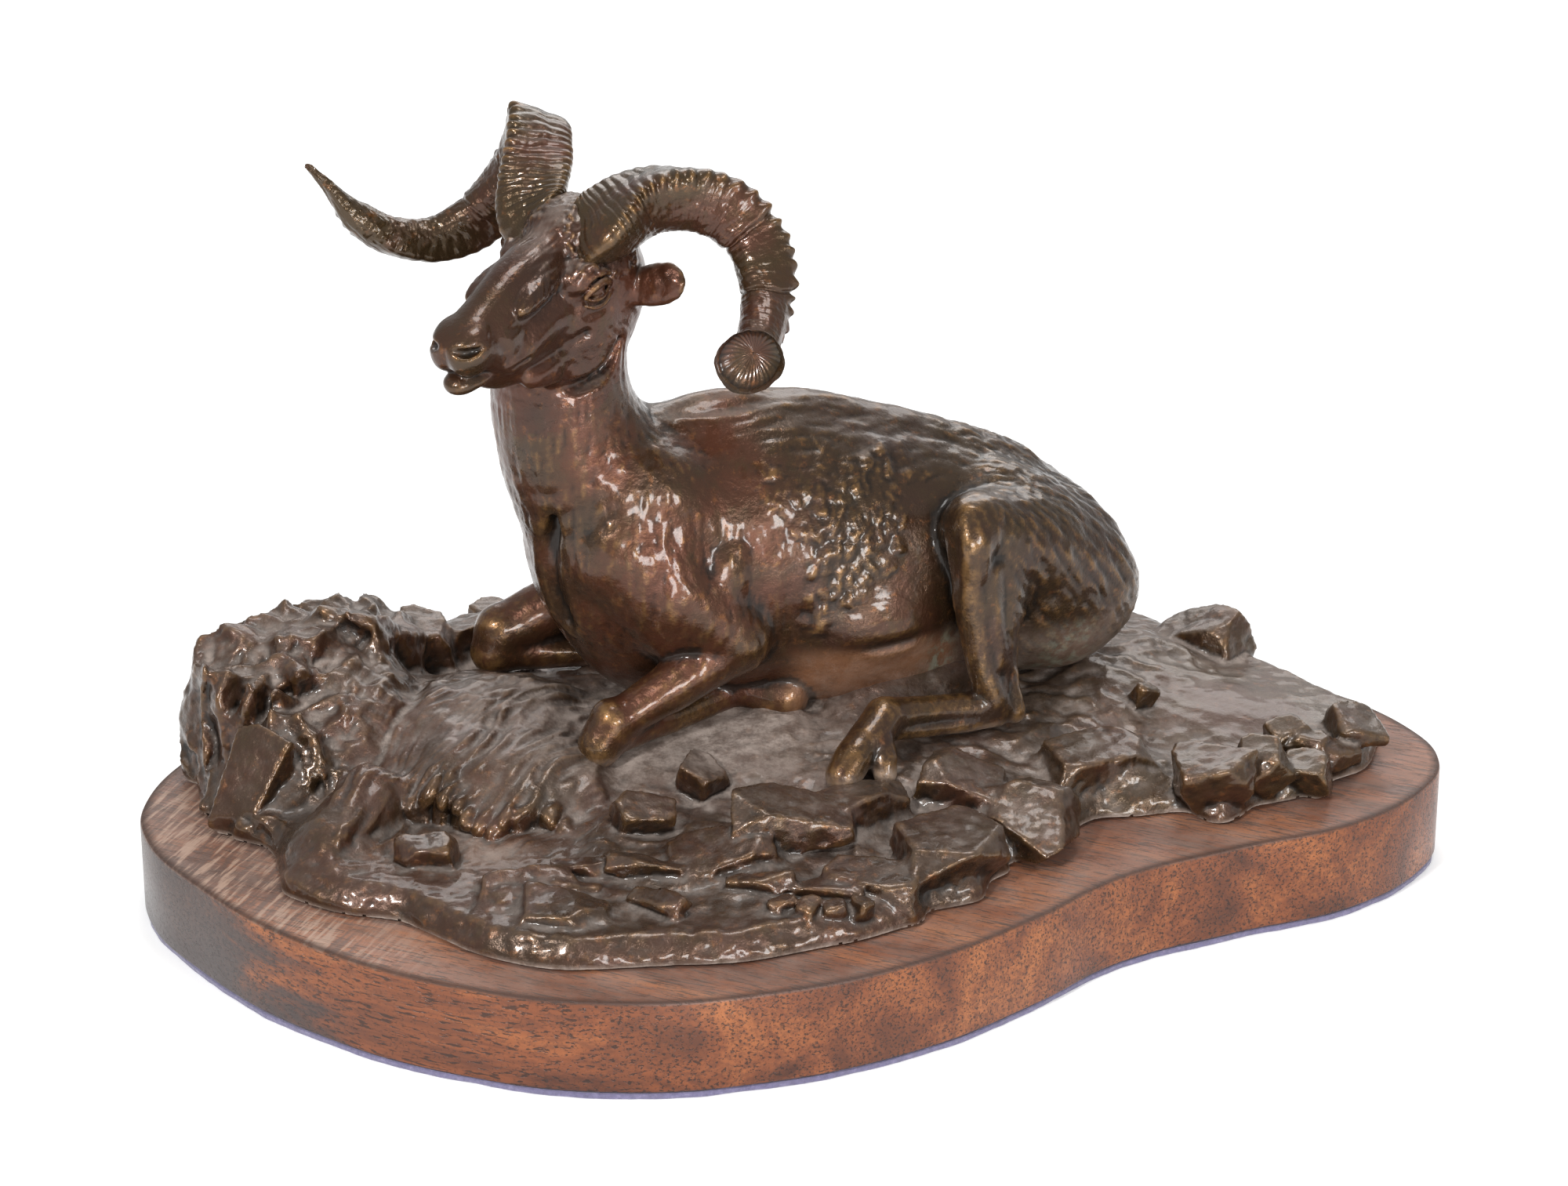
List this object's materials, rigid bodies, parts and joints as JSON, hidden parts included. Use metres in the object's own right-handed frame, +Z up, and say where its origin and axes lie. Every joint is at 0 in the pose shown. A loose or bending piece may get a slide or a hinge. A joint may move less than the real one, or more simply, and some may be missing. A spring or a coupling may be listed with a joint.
{
  "type": "animal figurine",
  "caption": "Resting mountain ram with curled horns on rocky ground, one hollow bronze casting screwed down to a freeform hardwood plinth with a felt underside.",
  "frame": {"origin": "on the floor, under the middle of the plinth", "axes": "+X along the plinth's length towards the ram's tail end, +Y to the back of the piece, +Z up; the ram looks towards -X and -Y"},
  "size_m": [0.2562, 0.1833, 0.1515],
  "materials": {
    "bronze": "dark brown patinated bronze, rubbed to olive gold on raised edges, grey dust on the ground",
    "mahogany": "satin red-brown varnish with open grain",
    "felt": "violet-blue felt",
    "steel": "zinc plated"
  },
  "bodies": {
    "root": {"bronze_casting": "bronze", "wood_plinth": "mahogany", "felt_pad": "felt", "washer_1": "steel", "washer_2": "steel", "washer_3": "steel", "screw_1": "steel", "screw_2": "steel", "screw_3": "steel"}
  },
  "joints": []
}
